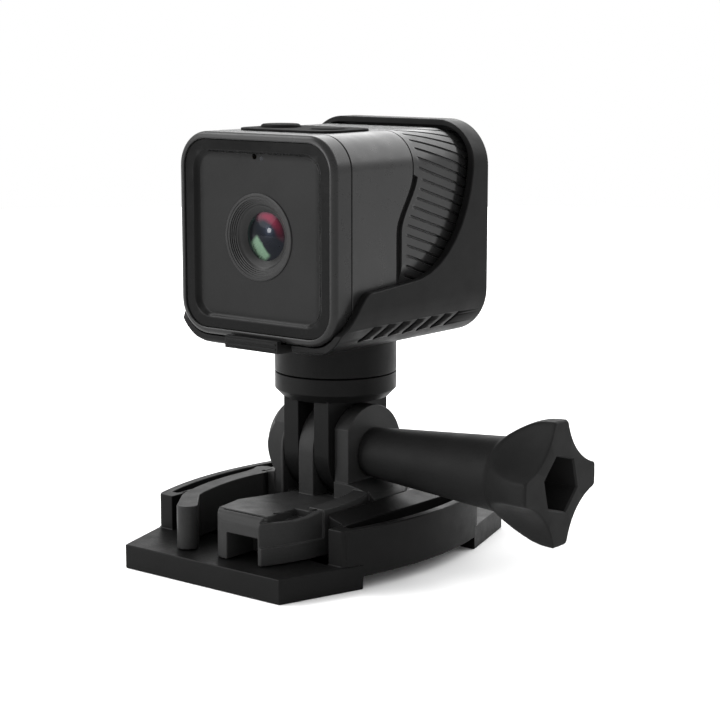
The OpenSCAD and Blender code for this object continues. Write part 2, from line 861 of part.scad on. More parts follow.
module rear_cover() {
    color("#3c3d3f") difference() {
        prism(2 * cover_half, 2 * cover_half, 4, cover_front, cover_back);
        // bay for the door and its knuckles
        for (bay = [[door_half + 0.2, door_front - 0.15], [door_hinge[0] + 1.1, door_front - 0.5]])
            block(door_hinge[0] - 1.1, bay[0], bay[1], big, door_low - 0.2, door_high + 0.2);
        // openings for the socket and the card, and the reset hole
        prism(9.4, 3.7, 1.8, 0, big, socket_z);
        block(-6, 6, 0, big, card_z - 0.4, card_z + 1.2);
        rod_y(0.8, 0, big, 7.5, 52.2);
        screw_places() {
            rotate([-90, 0, 0]) cylinder(r = screw_r + 0.1, h = big);
            translate([0, head_y, 0]) rotate([-90, 0, 0]) cylinder(r = 1.4, h = 2);
        }
        translate([door_hinge[0], door_hinge[1], door_low - 0.85])
            cylinder(r = pin_r, h = door_high - door_low + 1.7);
    }
}

module case_screws() {
    color("#6e7174") screw_places() difference() {
        union() {
            translate([0, 10, 0]) rotate([-90, 0, 0])
                cylinder(r = screw_r, h = head_y - 10 + 0.05);
            translate([0, head_y, 0]) rotate([-90, 0, 0]) cylinder(r = 1.3, h = 0.6);
        }
        for (a = [0, 90]) translate([0, head_y + 0.6, 0]) rotate([0, a, 0])
            cube([1.5, 0.6, 0.35], center = true);
    }
}

module port_door() {
    color("#333436") difference() {
        union() {
            block(door_hinge[0] + 0.9, door_half, door_front, cover_back + 0.05,
                  door_low, door_high);
            translate([door_hinge[0], door_hinge[1], knuckle_low])
                cylinder(r = 0.85, h = knuckle_high - knuckle_low);
            block(door_hinge[0], door_hinge[0] + 1, door_front, door_hinge[1] + 0.6,
                  knuckle_low, knuckle_high);
            block(-5, 5, door_front - 0.05, door_front + 0.1, socket_z - 1.3, socket_z + 1.3);
        }
        translate([door_hinge[0], door_hinge[1], 0]) cylinder(r = pin_r + 0.05, h = big);
        // finger nick at the free edge
        translate([door_half + 0.3, cover_back + 0.7, cam_z])
            cylinder(r = 1.5, h = 8, center = true);
    }
}

module door_pin() {
    color("#a5a8ab") translate([door_hinge[0], door_hinge[1], door_low - 0.8])
        cylinder(r = pin_r, h = door_high - door_low + 1.6);
}

// ---- camera: inside ----

// tray behind the main board that holds the battery
module chassis() {
    low = 38;
    high = 55.4;
    color("#5b5d60") difference() {
        block(-frame_half, frame_half, 3.2, 15.2, low, high);
        block(-10.9, 10.9, 4, big, low + 1.6, big);
        both_sides() block(11.2, 13.6, 5, 14, 42, 54);
        screw_places() rotate([-90, 0, 0]) cylinder(r = boss_r + 0.3, h = big);
        both_sides() translate([frame_half, 10, low]) rotate([0, 45, 0])
            cube([3, 30, 3], center = true);
    }
}

module battery() {
    color("#7d8fa6") translate([0, 9.4, battery_z]) rotate([90, 0, 0])
        linear_extrude(battery_size[1], center = true) rsq(battery_size[0], battery_size[2], 1.6);
}

module main_board() {
    color("#1e5a38") difference() {
        prism(26.4, 22, 1.2, main_board_y, main_board_y + board_t, main_board_z);
        for (x = [-11.5, 11.5], z = [40, 58]) rod_y(0.9, 0, 3, x, z);
    }
}

module board_chips() {
    color("#2c2d30") {
        prism(9, 9, 0.3, main_board_y - 1.2, main_board_y, 50.5);
        block(5.8, 11, main_board_y - 0.9, main_board_y, 42, 48);
        block(-11.4, -6, main_board_y - 1.1, main_board_y, 43, 46.6);
        block(-3.5, 3, main_board_y - 0.8, main_board_y, 40, 43.4);
        for (x = [-9 : 2.2 : -2.4])
            block(x, x + 1.1, main_board_y - 0.6, main_board_y, 56.2, 58.2);
    }
}

module speaker() {
    speaker_r = 4.6;
    color("#3f4144") translate([-13.9, -5.6, 46.5]) rotate([0, 90, 0]) difference() {
        cylinder(r = speaker_r, h = 2.3);
        translate([0, 0, 1.9]) cylinder(r = speaker_r - 2.2, h = 2);
    }
}

module port_board() {
    half = 12.4;
    color("#1e5a38") difference() {
        block(-half, half, port_board_y, port_board_y + board_t, 42, 60);
        both_sides() rod_y(0.7, 15, 18, half - 1.9, 58);
    }
}

module usb_connector() {
    color("#b8babd") difference() {
        prism(8.9, 3.2, 1.5, port_face, cover_front + 0.75, socket_z);
        prism(8.3, 2.6, 1.2, port_face + 0.48, big, socket_z);
    }
}

module card_socket() {
    color("#a9abae") difference() {
        block(-6.6, 6.6, port_face, port_face + 1.48, card_z - 1, card_z + 1.8);
        block(-5.7, 5.7, 0, big, card_z - 0.2, card_z + 0.9);
    }
}

module memory_card() {
    color("#17181a") block(-5.5, 5.5, port_face + 0.08, cover_front + 0.5, card_z, card_z + 0.7);
}

module button_board() {
    color("#1e5a38") difference() {
        block(-9.5, 9.5, -8.4, 1, button_board_z, button_board_z + board_t);
        translate([0, button_y, 60]) cylinder(r = 1, h = 3);
    }
}

module tact_switches() {
    half = 2.2;
    top = switch_top - 0.5;
    color("#b5b7ba") for (x = [-button_x, button_x]) {
        block(x - half, x + half, button_y - half, button_y + half,
              button_board_z + board_t, top);
        translate([x, button_y, top - 0.1]) cylinder(r = 1.1, h = switch_top - top + 0.1);
    }
}

module keypad() {
    color("#1c1d1e") difference() {
        translate([0, 0, keypad_seat + 0.02]) linear_extrude(keypad_top - keypad_seat - 0.02)
            keypad_plan(0);
        button_holes(0.12);
    }
}

// button with a retaining flange under the shell and a stem over its switch
module push_button(x, r, top) {
    edge = 0.25;
    flange_z = 64.2;
    translate([x, button_y, 0]) {
        translate([0, 0, flange_z + 0.6]) cylinder(r = r, h = top - flange_z - 0.6 - edge);
        translate([0, 0, top - edge]) cylinder(r1 = r, r2 = r - 0.3, h = edge);
        translate([0, 0, switch_top + button_travel + 0.1]) cylinder(r = 1.6, h = 1.5);
        translate([0, 0, flange_z]) cylinder(r = r + 0.6, h = 0.7);
    }
}

module record_button() { color("#232426") push_button(-button_x, record_r, keypad_top + 0.5); }
module power_button() { color("#232426") push_button(button_x, power_r, keypad_top + 0.2); }

strap_base();
buckle_body();
release_lever();
clamp_nut();
thumb_knob();
clamp_bolt();
tilt_fork();
pan_insert();
pan_screw();
friction_ring();
pan_disc();
cradle();
latch_tab();
front_bezel();
front_panel();
lens_ring();
lens_barrel();
front_element();
middle_element();
rear_element();
lens_holder();
sensor_board();
image_sensor();
microphone();
status_light();
front_gasket();
mid_shell();
side_gasket();
ribbed_shell();
rear_gasket();
rear_cover();
case_screws();
port_door();
door_pin();
chassis();
battery();
main_board();
board_chips();
speaker();
port_board();
usb_connector();
card_socket();
memory_card();
button_board();
tact_switches();
keypad();
record_button();
power_button();
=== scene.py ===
"""Looks of a cube-shaped action camera in its cradle, on a tilt and pan head over a strap base.

Lengths in the shape code are millimetres in the CAD frame (+Y to the rear, +Z up) and become
metres when a piece is made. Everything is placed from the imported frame's own nodes.
"""

import json
import math

import bmesh
import bpy
from mathutils import Matrix, Vector


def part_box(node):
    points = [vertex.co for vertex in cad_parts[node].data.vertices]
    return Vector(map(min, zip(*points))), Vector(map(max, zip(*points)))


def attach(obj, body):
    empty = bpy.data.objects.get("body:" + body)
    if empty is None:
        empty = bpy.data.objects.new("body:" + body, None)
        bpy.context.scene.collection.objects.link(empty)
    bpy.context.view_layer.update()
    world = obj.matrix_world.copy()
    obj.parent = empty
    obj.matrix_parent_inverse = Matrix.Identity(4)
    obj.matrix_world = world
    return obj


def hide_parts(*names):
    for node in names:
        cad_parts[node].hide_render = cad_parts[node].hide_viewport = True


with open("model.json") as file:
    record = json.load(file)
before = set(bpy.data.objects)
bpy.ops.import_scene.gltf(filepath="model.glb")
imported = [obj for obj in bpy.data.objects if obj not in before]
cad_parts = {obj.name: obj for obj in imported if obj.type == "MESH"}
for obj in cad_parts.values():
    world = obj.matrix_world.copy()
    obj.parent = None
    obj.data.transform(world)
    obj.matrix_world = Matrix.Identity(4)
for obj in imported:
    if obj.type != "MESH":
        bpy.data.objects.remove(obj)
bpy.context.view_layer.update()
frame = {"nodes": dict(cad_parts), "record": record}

MM = 0.001


# ---- camera, light and floor ----

def make_camera():
    """A long lens, a little above the object and to its right."""
    azimuth, elevation = math.radians(38.74), math.radians(9.805)
    eye = Vector((192.03, -229.34, 82.15))
    back = Vector((math.sin(azimuth) * math.cos(elevation),
                   -math.cos(azimuth) * math.cos(elevation), math.sin(elevation)))
    data = bpy.data.cameras.new("camera_view")
    data.sensor_width = 36
    data.lens = 96.1
    data.clip_start, data.clip_end = 0.01, 50
    camera = bpy.data.objects.new("camera_view", data)
    bpy.context.scene.collection.objects.link(camera)
    camera.location = eye * MM
    camera.rotation_mode = "QUATERNION"
    camera.rotation_quaternion = (-back).to_track_quat("-Z", "Y")
    bpy.context.scene.camera = camera


def soft_box(name, place, aim, size, power):
    """An oval lamp at place, in metres, that faces aim."""
    data = bpy.data.lights.new(name, "AREA")
    data.shape = "ELLIPSE"
    data.size, data.size_y = size
    data.energy = power
    lamp = bpy.data.objects.new(name, data)
    bpy.context.scene.collection.objects.link(lamp)
    lamp.location = place
    lamp.rotation_mode = "QUATERNION"
    lamp.rotation_quaternion = (Vector(aim) - Vector(place)).to_track_quat("-Z", "Y")


def make_studio():
    """A white floor and sky, a wide lamp behind, one above, and a fill and a glint in front."""
    scene = bpy.context.scene
    scene.view_settings.view_transform = "Standard"
    world = bpy.data.worlds.new("studio")
    scene.world = world
    world.use_nodes = True
    sky = world.node_tree.nodes["Background"]
    sky.inputs["Color"].default_value = (1, 1, 1, 1)
    sky.inputs["Strength"].default_value = 1.0
    middle = Vector((0, 0, 0.045))
    lens = Vector((0, -0.0136, 0.0511))
    soft_box("lamp_back", (0, 1.1, 0.66), middle, (2.3, 0.85), 17.5)
    soft_box("lamp_top", middle + Vector((-0.62, -0.15, 0.75)), middle, (0.5, 0.5), 5)
    soft_box("lamp_front", lens + 0.9 * Vector((-0.6, -0.68, 0.42)), lens, (0.65, 0.65), 5)
    soft_box("lamp_glint", lens + 0.62 * Vector((-0.49, -0.87, 0.055)), lens, (0.09, 0.07), 0.95)

    reach, sides = 0.6, 96
    rim = [(reach * math.cos(a), reach * math.sin(a), 0)
           for a in (2 * math.pi * i / sides for i in range(sides))]
    mesh = bpy.data.meshes.new("floor")
    mesh.from_pydata(rim, [], [tuple(range(sides))])
    floor = bpy.data.objects.new("floor", mesh)
    scene.collection.objects.link(floor)
    floor.location.z = -0.00002
    paint = bpy.data.materials.new("floor_paint")
    paint.use_nodes = True
    shader = paint.node_tree.nodes["Principled BSDF"]
    shader.inputs["Base Color"].default_value = (0.97, 0.97, 0.97, 1)
    shader.inputs["Roughness"].default_value = 0.9
    shader.inputs["Specular IOR Level"].default_value = 0
    mesh.materials.append(paint)


# ---- materials ----

class Nodes:
    """Short names for building a material's node tree."""

    def __init__(self, name):
        self.material = bpy.data.materials.new(name)
        self.material.use_nodes = True
        self.tree = self.material.node_tree
        self.shader = self.tree.nodes["Principled BSDF"]
        self.place = self.add("ShaderNodeTexCoord").outputs["Object"]

    def add(self, kind, **settings):
        node = self.tree.nodes.new(kind)
        for key, value in settings.items():
            setattr(node, key, value)
        return node

    def link(self, a, b):
        self.tree.links.new(a, b)

    def feed(self, socket, value):
        """Links value to the socket, or sets it there if it is a plain number or colour."""
        if isinstance(value, bpy.types.NodeSocket):
            self.link(value, socket)
        else:
            socket.default_value = value

    def set(self, **inputs):
        for key, value in inputs.items():
            self.feed(self.shader.inputs[key.replace("_", " ")], value)

    def noise(self, size_mm, detail=3, rough=0.5, stretch=None):
        """Noise whose blobs measure about size_mm."""
        texture = self.add("ShaderNodeTexNoise")
        texture.inputs["Scale"].default_value = 1 / (size_mm * MM)
        texture.inputs["Detail"].default_value = detail
        texture.inputs["Roughness"].default_value = rough
        place = self.place
        if stretch:
            mapping = self.add("ShaderNodeMapping")
            mapping.inputs["Scale"].default_value = stretch
            self.link(place, mapping.inputs["Vector"])
            place = mapping.outputs["Vector"]
        self.link(place, texture.inputs["Vector"])
        return texture.outputs["Fac"]

    def cells(self, size_mm, feature="F1", random=1.0):
        texture = self.add("ShaderNodeTexVoronoi", feature=feature)
        texture.inputs["Scale"].default_value = 1 / (size_mm * MM)
        texture.inputs["Randomness"].default_value = random
        self.link(self.place, texture.inputs["Vector"])
        return texture.outputs["Distance"]

    def range(self, value, low, high, to_low, to_high):
        node = self.add("ShaderNodeMapRange")
        self.feed(node.inputs["Value"], value)
        for key, number in zip(("From Min", "From Max", "To Min", "To Max"),
                               (low, high, to_low, to_high)):
            node.inputs[key].default_value = number
        return node.outputs["Result"]

    def math(self, operation, a, b=0.0, clamp=False):
        node = self.add("ShaderNodeMath", operation=operation, use_clamp=clamp)
        self.feed(node.inputs[0], a)
        self.feed(node.inputs[1], b)
        return node.outputs[0]

    def mix(self, share, a, b):
        node = self.add("ShaderNodeMix", data_type="RGBA")
        self.feed(node.inputs["Factor"], share)
        self.feed(node.inputs["A"], a)
        self.feed(node.inputs["B"], b)
        return node.outputs["Result"]

    def axis(self, name):
        split = self.add("ShaderNodeSeparateXYZ")
        self.link(self.place, split.inputs[0])
        return split.outputs[name]

    def worn_highlit_edges(self, radius_mm):
        """0 on flat faces, rising towards 1 on edges: the mask for rubbed wear and a painted edge
        highlight.
        """
        bevel = self.add("ShaderNodeBevel", samples=4)
        bevel.inputs["Radius"].default_value = radius_mm * MM
        geometry = self.add("ShaderNodeNewGeometry")
        dot = self.add("ShaderNodeVectorMath", operation="DOT_PRODUCT")
        self.link(bevel.outputs["Normal"], dot.inputs[0])
        self.link(geometry.outputs["Normal"], dot.inputs[1])
        return self.range(dot.outputs["Value"], 0.995, 0.9, 0, 1)

    def bump(self, height, depth_mm, after=None):
        node = self.add("ShaderNodeBump")
        node.inputs["Strength"].default_value = 1
        node.inputs["Distance"].default_value = depth_mm * MM
        self.link(height, node.inputs["Height"])
        if after is not None:
            self.link(after, node.inputs["Normal"])
        return node.outputs["Normal"]


def grey(value, warm=0.0):
    return (value * (1 + warm), value, value * (1 - warm), 1)


def plastic(name, tone, rough, grain_mm=0.16, grain_depth=0.006, gloss=0.35, wear_and_highlight=0.5):
    """Moulded black or grey plastic: spark-eroded grain, faint flow marks, and edges lightened
    for rubbed wear and a painted highlight.
    """
    n = Nodes(name)
    cloud = n.noise(7, detail=2)
    fleck = n.noise(grain_mm * 2.2, detail=4, rough=0.7)
    shade = n.mix(n.range(cloud, 0.3, 0.7, 0, 1), grey(tone * 0.86), grey(tone * 1.12))
    shade = n.mix(n.range(fleck, 0.35, 0.65, 0, 0.35), shade, grey(tone * 1.5))
    # Edges lightened: partly rubbed wear, partly a painted highlight along the rounded edges.
    edge = n.math("MULTIPLY", n.worn_highlit_edges(0.22), n.range(fleck, 0.35, 0.6, 0.25, 1))
    shade = n.mix(n.math("MULTIPLY", edge, wear_and_highlight), shade, grey(tone * 2.2 + 0.005))
    flow = n.range(n.noise(2.6, detail=3), 0.3, 0.7, -0.05, 0.06)
    roughness = n.math("ADD", n.range(fleck, 0.3, 0.7, rough - 0.04, rough + 0.05), flow)
    roughness = n.math("SUBTRACT", roughness, n.math("MULTIPLY", edge, 0.12), clamp=True)
    grain = n.bump(n.cells(grain_mm, feature="SMOOTH_F1"), grain_depth)
    normal = n.bump(n.noise(grain_mm * 0.8, detail=5, rough=0.75), grain_depth * 0.7, grain)
    n.set(Base_Color=shade, Roughness=roughness, Normal=normal, Specular_IOR_Level=gloss)
    return n.material


def front_glass(name):
    """Glossy front panel: a darker printed border round a slightly lighter sunken field."""
    n = Nodes(name)
    half_w, half_h, soft = 11.45 * MM, 12.0 * MM, 1.3 * MM
    off_x = n.math("SUBTRACT", n.math("ABSOLUTE", n.axis("X")), half_w)
    off_z = n.math("SUBTRACT",
                   n.math("ABSOLUTE", n.math("SUBTRACT", n.axis("Z"), LENS_AXIS.z)), half_h)
    border = n.range(n.math("MAXIMUM", off_x, off_z), -soft * 0.35, soft * 0.65, 0, 1)
    dust = n.noise(0.35, detail=5, rough=0.7)
    field = n.mix(n.range(n.noise(9, detail=2), 0.3, 0.7, 0, 1), grey(0.009), grey(0.0115))
    field = n.mix(n.range(dust, 0.5, 0.75, 0, 0.25), field, grey(0.022))
    shade = n.mix(border, field, grey(0.004))
    roughness = n.math("ADD", n.range(border, 0, 1, 0.34, 0.24),
                       n.range(n.noise(3.2, detail=3), 0.3, 0.7, -0.05, 0.05))
    normal = n.bump(n.noise(0.5, detail=4, rough=0.6), 0.0016)
    n.set(Base_Color=shade, Roughness=roughness, Normal=normal,
          Specular_IOR_Level=n.range(border, 0, 1, 0.075, 0.055))
    return n.material


def rubber(name, tone=0.006, rough=0.8):
    """Soft black rubber with a fine velvet grain, a little dust in its low places, and edges
    lightened for rubbed wear and a painted highlight.
    """
    n = Nodes(name)
    fine = n.noise(0.09, detail=5, rough=0.8)
    dust = n.range(n.noise(1.6, detail=5, rough=0.7), 0.5, 0.72, 0, 0.3)
    shade = n.mix(dust, grey(tone), grey(tone * 2.2 + 0.01, 0.03))
    # Edges lightened: partly rubbed wear, partly a painted highlight.
    edge = n.worn_highlit_edges(0.18)
    shade = n.mix(n.math("MULTIPLY", edge, 0.35), shade, grey(tone * 2.8))
    n.set(Base_Color=shade, Roughness=n.range(fine, 0.3, 0.7, rough - 0.08, rough + 0.1),
          Normal=n.bump(fine, 0.006), Specular_IOR_Level=0.05)
    n.set(Sheen_Weight=0.02)
    return n.material


def metal(name, colour, rough, brushed=(1, 1, 14)):
    """Machined metal with brushed lines and small dull blotches."""
    n = Nodes(name)
    lines = n.noise(0.9, detail=4, rough=0.7, stretch=brushed)
    blotch = n.noise(1.8, detail=3)
    dark = tuple(c * 0.72 for c in colour[:3]) + (1,)
    n.set(Base_Color=n.mix(n.range(blotch, 0.35, 0.7, 0, 1), colour, dark),
          Roughness=n.range(lines, 0.3, 0.7, rough - 0.08, rough + 0.12),
          Normal=n.bump(lines, 0.003), Metallic=1.0)
    return n.material


def board(name):
    """Green circuit board: masked copper tracks, bare pads and a glassy lacquer."""
    n = Nodes(name)
    tracks = n.range(n.cells(1.1, feature="DISTANCE_TO_EDGE", random=0.85), 0.03, 0.06, 1, 0)
    pads = n.range(n.cells(1.9, random=0.7), 0.16, 0.2, 1, 0)
    mask = n.mix(n.noise(3, detail=2), (0.008, 0.09, 0.03, 1), (0.012, 0.13, 0.045, 1))
    shade = n.mix(tracks, mask, (0.02, 0.2, 0.07, 1))
    shade = n.mix(pads, shade, (0.75, 0.55, 0.25, 1))
    n.set(Base_Color=shade, Metallic=pads, Roughness=n.range(n.noise(0.5), 0.3, 0.7, 0.25, 0.4),
          Normal=n.bump(n.math("ADD", tracks, pads), 0.02))
    return n.material


def wrap(name):
    """Shrink wrap on the battery cell, with lengthwise creases and a paler seam."""
    n = Nodes(name)
    crease = n.noise(1.4, detail=5, rough=0.65, stretch=(1, 1, 0.15))
    seam = n.range(n.math("ABSOLUTE", n.axis("X")), 0.0004, 0.0007, 0.8, 0)
    shade = n.mix(n.range(crease, 0.3, 0.7, 0, 1), (0.03, 0.06, 0.13, 1), (0.05, 0.1, 0.2, 1))
    n.set(Base_Color=n.mix(seam, shade, (0.3, 0.35, 0.4, 1)),
          Roughness=n.range(crease, 0.3, 0.7, 0.22, 0.4), Normal=n.bump(crease, 0.04))
    return n.material


def window(n, value, low, high, soft):
    """1 while value is between low and high, falling to 0 over soft on either side."""
    rise = n.range(value, low - soft, low + soft, 0, 1)
    fall = n.range(value, high - soft, high + soft, 1, 0)
    return n.math("MULTIPLY", rise, fall)


def lens_deep(name):
    """Coated front glass with painted reflections: a magenta crescent above, a green pane below
    and a green line at the left rim, set as zone colours of its mirror finish.
    """
    n = Nodes(name)
    x = n.math("DIVIDE", n.axis("X"), MM)
    z = n.math("DIVIDE", n.math("SUBTRACT", n.axis("Z"), LENS_AXIS.z), MM)
    ripple = n.range(n.noise(1.1, detail=3), 0.3, 0.7, -0.12, 0.12)
    span = n.math("SQRT", n.math("ADD", n.math("MULTIPLY", x, x), n.math("MULTIPLY", z, z)))
    span = n.math("ADD", span, ripple)
    towards = n.math("ADD", n.math("MULTIPLY", x, 0.5), n.math("MULTIPLY", z, 0.87))
    # Painted reflection: a magenta crescent at the upper right of the glass.
    crescent = n.math("MULTIPLY", window(n, span, 2.45, 3.6, 0.35),
                      n.range(towards, 1.0, 2.8, 0, 1))
    along = n.math("ADD", n.math("MULTIPLY", x, -0.61), n.math("MULTIPLY", z, 0.79))
    out = n.math("ADD", n.math("MULTIPLY", x, -0.79), n.math("MULTIPLY", z, -0.61))
    # Painted reflection: a green pane at the lower left of the glass.
    pane = n.math("MULTIPLY", window(n, n.math("ADD", out, ripple), 0.95, 3.2, 0.22),
                  window(n, along, -2.8, 0.9, 0.25))
    # Painted reflection: a pale green line along the left rim.
    rim = n.math("MULTIPLY", window(n, span, 3.3, 3.7, 0.2), n.range(x, -1.5, -3, 0, 0.35))
    deep = n.mix(n.noise(1.2), (0.003, 0.004, 0.006, 1), (0.006, 0.007, 0.01, 1))
    # Lays the painted reflection colours over the dark glass.
    shade = n.mix(crescent, deep, (0.05, 0.007, 0.014, 1))
    shade = n.mix(pane, shade, (0.085, 0.14, 0.095, 1))
    shade = n.mix(rim, shade, (0.05, 0.11, 0.09, 1))
    n.set(Base_Color=shade, Metallic=1.0, Coat_Weight=0.12, Coat_Roughness=0.05,
          Roughness=n.range(n.noise(1.6, detail=4), 0.35, 0.7, 0.26, 0.34))
    return n.material


def dark_glass(name):
    """Smoked glass with a faint blue cast, fine dust and an uneven polish."""
    n = Nodes(name)
    dust = n.range(n.noise(0.3, detail=5, rough=0.7), 0.55, 0.75, 0, 0.4)
    tint = n.mix(n.noise(1.5), (0.003, 0.004, 0.006, 1), (0.005, 0.006, 0.009, 1))
    n.set(Base_Color=n.mix(dust, tint, grey(0.03)), Specular_IOR_Level=0.4,
          Roughness=n.range(n.noise(1.1, detail=3), 0.3, 0.7, 0.08, 0.18))
    return n.material


# ---- shape helpers, in millimetres ----

def rounded(half_x, half_z, radius, steps=14, straight=0):
    """Points of a rounded rectangle in X and Z, with straight more points along each side."""
    corners = []
    for sx, sz, turn in ((1, 1, 90), (1, -1, 0), (-1, -1, -90), (-1, 1, -180)):
        middle = (sx * (half_x - radius), sz * (half_z - radius))
        corners.append(arc(middle, radius, turn, turn - 90, steps))
    points = []
    for this, after in zip(corners, corners[1:] + corners[:1]):
        points += this
        for i in range(1, straight + 1):
            share = i / (straight + 1)
            points.append(tuple(a + (b - a) * share for a, b in zip(this[-1], after[0])))
    return points


def arc(centre, radius, start, end, steps):
    """Points on an arc, in degrees from start to end."""
    angles = [math.radians(start + (end - start) * i / steps) for i in range(steps + 1)]
    return [(centre[0] + radius * math.cos(a), centre[1] + radius * math.sin(a))
            for a in angles]


def loft(rings):
    """A bmesh through rings with the same number of points, the last joined to the first."""
    bm = bmesh.new()
    rows = [[bm.verts.new(p) for p in ring] for ring in rings]
    for a, b in zip(rows, rows[1:] + rows[:1]):
        for i in range(len(a)):
            j = (i + 1) % len(a)
            bm.faces.new((a[i], a[j], b[j], b[i]))
    bmesh.ops.recalc_face_normals(bm, faces=bm.faces)
    return bm


def about_lens(profile, steps=96):
    """Revolves a closed profile of (radius, y) round the lens axis."""
    rings = []
    for i in range(steps):
        a = 2 * math.pi * i / steps
        rings.append([(r * math.cos(a), y, LENS_Z + r * math.sin(a)) for r, y in profile])
    return loft(rings)


def solid_of(node):
    """A CAD node's mesh as one clean closed surface of whole faces, in millimetres."""
    bm = bmesh.new()
    bm.from_mesh(frame["nodes"][node].data)
    bmesh.ops.scale(bm, vec=(1 / MM,) * 3, verts=bm.verts)
    bmesh.ops.remove_doubles(bm, verts=bm.verts, dist=1e-3)
    bmesh.ops.dissolve_limit(bm, angle_limit=math.radians(0.4), verts=bm.verts, edges=bm.edges)
    return bm


def round_edges(bm, width, over=28, segments=3, keep=None):
    """Rounds the edges that turn by more than over degrees, where keep(middle) allows it."""
    sharp = [e for e in bm.edges
             if len(e.link_faces) == 2 and e.calc_face_angle(0) > math.radians(over)
             and (keep is None or keep((e.verts[0].co + e.verts[1].co) / 2))]
    bmesh.ops.bevel(bm, geom=sharp, offset=width, offset_type="OFFSET", segments=segments,
                    profile=0.5, affect="EDGES", clamp_overlap=False, miter_outer="ARC")
    return bm


def piece(name, bm, material, body, slot, *nodes, flat_fronts=False):
    """Makes a piece from a bmesh in millimetres; it stands for the CAD nodes given."""
    bmesh.ops.scale(bm, vec=(MM,) * 3, verts=bm.verts)
    bm.normal_update()
    for face in bm.faces:
        face.smooth = not (flat_fronts and abs(face.normal.y) > 0.9999)
    mesh = bpy.data.meshes.new(name)
    bm.to_mesh(mesh)
    bm.free()
    mesh.materials.append(material)
    mesh.set_sharp_from_angle(angle=math.radians(38))
    thing = bpy.data.objects.new(name, mesh)
    bpy.context.scene.collection.objects.link(thing)
    weighted = thing.modifiers.new("even_normals", "WEIGHTED_NORMAL")
    weighted.keep_sharp = True
    weighted.weight = 90
    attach(thing, body)
    if nodes:
        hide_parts(*nodes)
    return thing


def node_box(node):
    low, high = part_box(node)
    return low / MM, high / MM


def smooth(t):
    t = min(max(t, 0), 1)
    return t * t * (3 - 2 * t)


# ---- places that several pieces share, measured on the frame ----

BEZEL_LOW, BEZEL_HIGH = node_box("front_bezel")
CAM_HALF = BEZEL_HIGH.x
LENS_Z = (BEZEL_LOW.z + BEZEL_HIGH.z) / 2
LENS_AXIS = Vector((0, 0, LENS_Z * MM))
CAM_R = 5.4
RIM = 1.1
CONE_R = 4.66
GLASS_R = 3.7
GLASS_RISE = 0.65
GLASS_RIM = node_box("front_element")[0].y + 0.88


# ---- pieces of the camera ----

def front_bezel(material):
    """Rounded frame round the front, with a crisp seam edge at its back."""
    front, back = BEZEL_LOW.y, BEZEL_HIGH.y
    nose, lip, seam = 0.9, 0.16, 0.12
    seat, ledge, ledge_back, wall = 1.85, 2.6, 2.85, 1.3
    profile = [(seam, back), (0, back - seam)]
    profile += [(nose - x, front + nose - y) for x, y in arc((0, 0), nose, 0, 90, 8)]
    profile += [(RIM - lip + x, front + lip - y) for x, y in arc((0, 0), lip, 90, 0, 3)]
    profile += [(RIM, front + seat), (ledge, front + seat), (ledge, front + ledge_back),
                (wall, front + ledge_back), (wall, back)]
    rings = [[(x, y, LENS_Z + z) for x, z in rounded(CAM_HALF - gap, CAM_HALF - gap, CAM_R - gap)]
             for gap, y in profile]
    piece("bezel", loft(rings), material, "camera", "rim_grey", "front_bezel")


def ring_between(outer, inner, share):
    return [tuple(a + (b - a) * share for a, b in zip(p, q)) for p, q in zip(outer, inner)]


def front_panel(material):
    """Sunken front panel with soft slopes, the lens bore and two small holes."""
    low, high = node_box("front_panel")
    front, back = low.y, high.y
    half, corner, depth = high.x, CAM_R - RIM - 0.1, 0.6
    field_x, field_z, field_r = 11.7, 12.25, 2.6
    bore = 6.3
    mic_hole, light_hole = (-0.7, 12.1, 0.45), (0.7, 11.8, 0.34)

    def flat(half_x, half_z, radius, y):
        return [(x, y, LENS_Z + z) for x, z in rounded(half_x, half_z, radius, 12, straight=10)]

    def circle(radius, y):
        around = []
        for x, _, z in flat(field_x, field_z, field_r, 0):
            span = math.hypot(x, z - LENS_Z)
            around.append((x / span * radius, y, LENS_Z + (z - LENS_Z) / span * radius))
        return around

    rings = [flat(half, half, corner, back), flat(half, half, corner, front)]
    slope, more_x, slope_steps = 1.5, 0.45, 12
    for i in range(slope_steps + 1):
        t = i / slope_steps
        out = slope * (1 - t) * 0.5
        rings.append(flat(field_x + more_x * (1 - t) + out, field_z + out, field_r + out,
                          front + depth * smooth(t)))
    rings.append(ring_between(rings[-1], circle(bore, front + depth), 0.5))
    rings += [circle(bore, front + depth), circle(bore, back)]
    bm = loft(rings)
    bm = drilled(bm, [mic_hole, light_hole], front - 1, back + 1)
    piece("panel", bm, material, "camera", "panel_grey", "front_panel", flat_fronts=True)


def drilled(bm, holes, y0, y1):
    """Cuts round holes of (x, height over the lens axis, radius) along Y."""
    body = bpy.data.meshes.new("blank")
    bm.to_mesh(body)
    bm.free()
    blank = bpy.data.objects.new("blank", body)
    bpy.context.scene.collection.objects.link(blank)
    cutters = []
    for x, up, radius in holes:
        cut = bmesh.new()
        middle = Matrix.Translation((x, (y0 + y1) / 2, LENS_Z + up))
        bmesh.ops.create_cone(cut, cap_ends=True, segments=28, radius1=radius, radius2=radius,
                              depth=y1 - y0, matrix=middle @ Matrix.Rotation(math.pi / 2, 4, "X"))
        mesh = bpy.data.meshes.new("cutter")
        cut.to_mesh(mesh)
        cut.free()
        cutter = bpy.data.objects.new("cutter", mesh)
        bpy.context.scene.collection.objects.link(cutter)
        change = blank.modifiers.new("cut", "BOOLEAN")
        change.operation, change.solver, change.object = "DIFFERENCE", "EXACT", cutter
        cutters.append(cutter)
    result = blank.evaluated_get(bpy.context.evaluated_depsgraph_get()).to_mesh()
    done = bmesh.new()
    done.from_mesh(result)
    bmesh.ops.remove_doubles(done, verts=done.verts, dist=1e-4)
    for thing in cutters + [blank]:
        bpy.data.objects.remove(thing)
    return done


